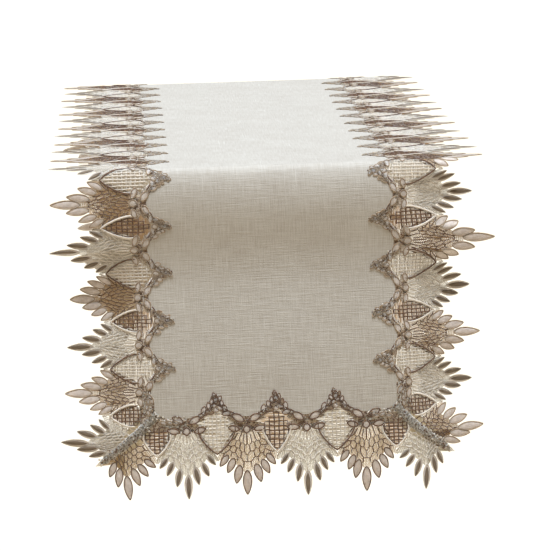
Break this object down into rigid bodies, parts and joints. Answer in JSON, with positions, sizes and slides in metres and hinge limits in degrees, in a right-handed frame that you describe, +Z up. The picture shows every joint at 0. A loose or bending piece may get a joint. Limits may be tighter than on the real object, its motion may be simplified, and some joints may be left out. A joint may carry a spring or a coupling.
{
  "type": "table runner",
  "caption": "Linen table runner with a deep two-tone scalloped lace border and mitred corners, draped over a table with a hanging drop at each end.",
  "frame": {"origin": "middle of the underside of the flat linen panel, where it rests on the table top", "axes": "+Z up out of the table top, +Y along the runner from the front drop to the rear drop, +X across it"},
  "size_m": [0.3824, 0.5602, 0.2921],
  "materials": {
    "natural_linen": "plain-woven slubby linen, matt",
    "lace_thread": "embroidered lace in cream, taupe and brown thread, soft sheen",
    "braid_thread": "embroidered leafy braid in brown and cream thread",
    "seam_thread": "zigzag-stitched seam in grey-brown thread"
  },
  "bodies": {
    "top": {"linen_front_fold": "natural_linen", "braid_left_front_fold": "braid_thread", "lace_left_front_fold": "lace_thread", "braid_right_front_fold": "braid_thread", "lace_right_front_fold": "lace_thread", "linen_top": "natural_linen", "braid_left_top": "braid_thread", "lace_left_top": "lace_thread", "braid_right_top": "braid_thread", "lace_right_top": "lace_thread", "linen_rear_fold": "natural_linen", "braid_left_rear_fold": "braid_thread", "lace_left_rear_fold": "lace_thread", "braid_right_rear_fold": "braid_thread", "lace_right_rear_fold": "lace_thread"},
    "front_drop": {"linen_front_drop": "natural_linen", "braid_left_front_drop": "braid_thread", "lace_left_front_drop": "lace_thread", "braid_right_front_drop": "braid_thread", "lace_right_front_drop": "lace_thread", "braid_front_end": "braid_thread", "lace_front_end": "lace_thread", "mitre_seam_front_left": "seam_thread", "mitre_seam_front_right": "seam_thread"},
    "rear_drop": {"linen_rear_drop": "natural_linen", "braid_left_rear_drop": "braid_thread", "lace_left_rear_drop": "lace_thread", "braid_right_rear_drop": "braid_thread", "lace_right_rear_drop": "lace_thread", "braid_rear_end": "braid_thread", "lace_rear_end": "lace_thread", "mitre_seam_rear_left": "seam_thread", "mitre_seam_rear_right": "seam_thread"}
  },
  "joints": [
    {"name": "front_drop_fold", "type": "hinge", "parent": "top", "child": "front_drop", "pos_m": [0, -0.24686, -0.00149], "axis": [-1, 0, 0], "range_deg": [0, 84]},
    {"name": "rear_drop_fold", "type": "hinge", "parent": "top", "child": "rear_drop", "pos_m": [0, 0.24686, -0.00149], "axis": [1, 0, 0], "range_deg": [0, 84]}
  ]
}
